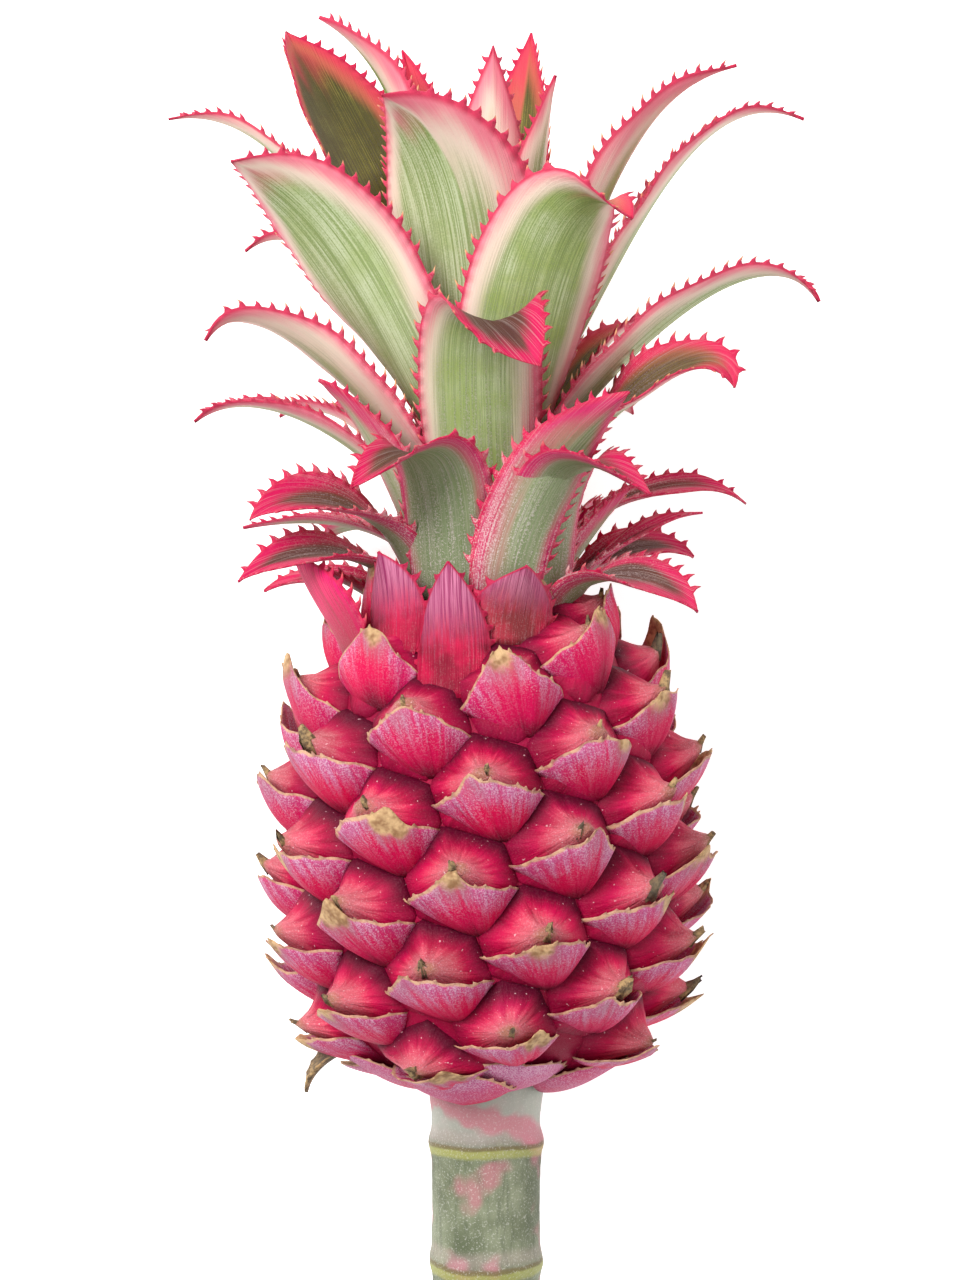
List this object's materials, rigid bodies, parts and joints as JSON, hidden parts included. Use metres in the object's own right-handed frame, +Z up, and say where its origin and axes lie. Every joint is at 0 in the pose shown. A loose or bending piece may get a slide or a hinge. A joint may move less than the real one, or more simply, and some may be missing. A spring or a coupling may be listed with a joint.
{
  "type": "ornamental pineapple with cut stem",
  "caption": "Small ornamental pineapple lying on its side: a crimson fruit of beaked fruitlets, a crown of arching toothed variegated leaves, and a short length of cut stem.",
  "frame": {"origin": "on the surface it lies on, below the middle of its bounding box", "axes": "+Y along the fruit's axis towards the crown's tip, +X to its side, +Z up away from the surface"},
  "size_m": [0.1292, 0.267, 0.0872],
  "materials": {
    "fruit": "satin, crimson with a pale bloom",
    "stem": "matt grey-green with pink blotches",
    "leaf": "satin pale green, cream and pink margins",
    "red_leaf": "satin crimson with a dark green middle",
    "bract": "satin dusty pink with papery tan edges"
  },
  "bodies": {
    "root": {"fruit": "fruit", "stem": "stem", "crown_leaf_01": "red_leaf", "crown_leaf_02": "red_leaf", "crown_leaf_03": "red_leaf", "crown_leaf_04": "red_leaf", "crown_leaf_05": "red_leaf", "crown_leaf_06": "red_leaf", "crown_leaf_07": "red_leaf", "crown_leaf_08": "red_leaf", "crown_leaf_09": "red_leaf", "crown_leaf_10": "red_leaf", "crown_leaf_11": "red_leaf", "crown_leaf_12": "red_leaf", "crown_leaf_13": "red_leaf", "crown_leaf_14": "red_leaf", "crown_leaf_15": "red_leaf", "crown_leaf_16": "red_leaf", "crown_leaf_17": "red_leaf", "crown_leaf_18": "red_leaf", "crown_leaf_19": "red_leaf", "crown_leaf_20": "red_leaf", "crown_leaf_21": "red_leaf", "crown_leaf_22": "red_leaf", "crown_leaf_23": "red_leaf", "crown_leaf_24": "red_leaf", "crown_leaf_25": "leaf", "crown_leaf_26": "leaf", "crown_leaf_27": "leaf", "crown_leaf_28": "leaf", "crown_leaf_29": "leaf", "crown_leaf_30": "leaf", "crown_leaf_31": "leaf", "crown_leaf_32": "leaf", "crown_leaf_33": "leaf", "crown_leaf_34": "leaf", "crown_leaf_35": "leaf", "crown_leaf_36": "leaf", "crown_leaf_37": "leaf", "crown_leaf_38": "leaf", "crown_leaf_39": "leaf", "crown_leaf_40": "leaf", "crown_leaf_41": "leaf", "crown_leaf_42": "leaf", "crown_leaf_43": "leaf", "crown_leaf_44": "leaf", "crown_leaf_45": "leaf", "crown_leaf_46": "leaf", "crown_leaf_47": "leaf", "crown_leaf_48": "leaf", "crown_leaf_49": "leaf", "base_bract_1": "bract", "base_bract_2": "bract", "base_bract_3": "bract", "base_bract_4": "bract", "base_bract_5": "bract", "base_bract_6": "bract", "base_bract_7": "bract"}
  },
  "joints": []
}
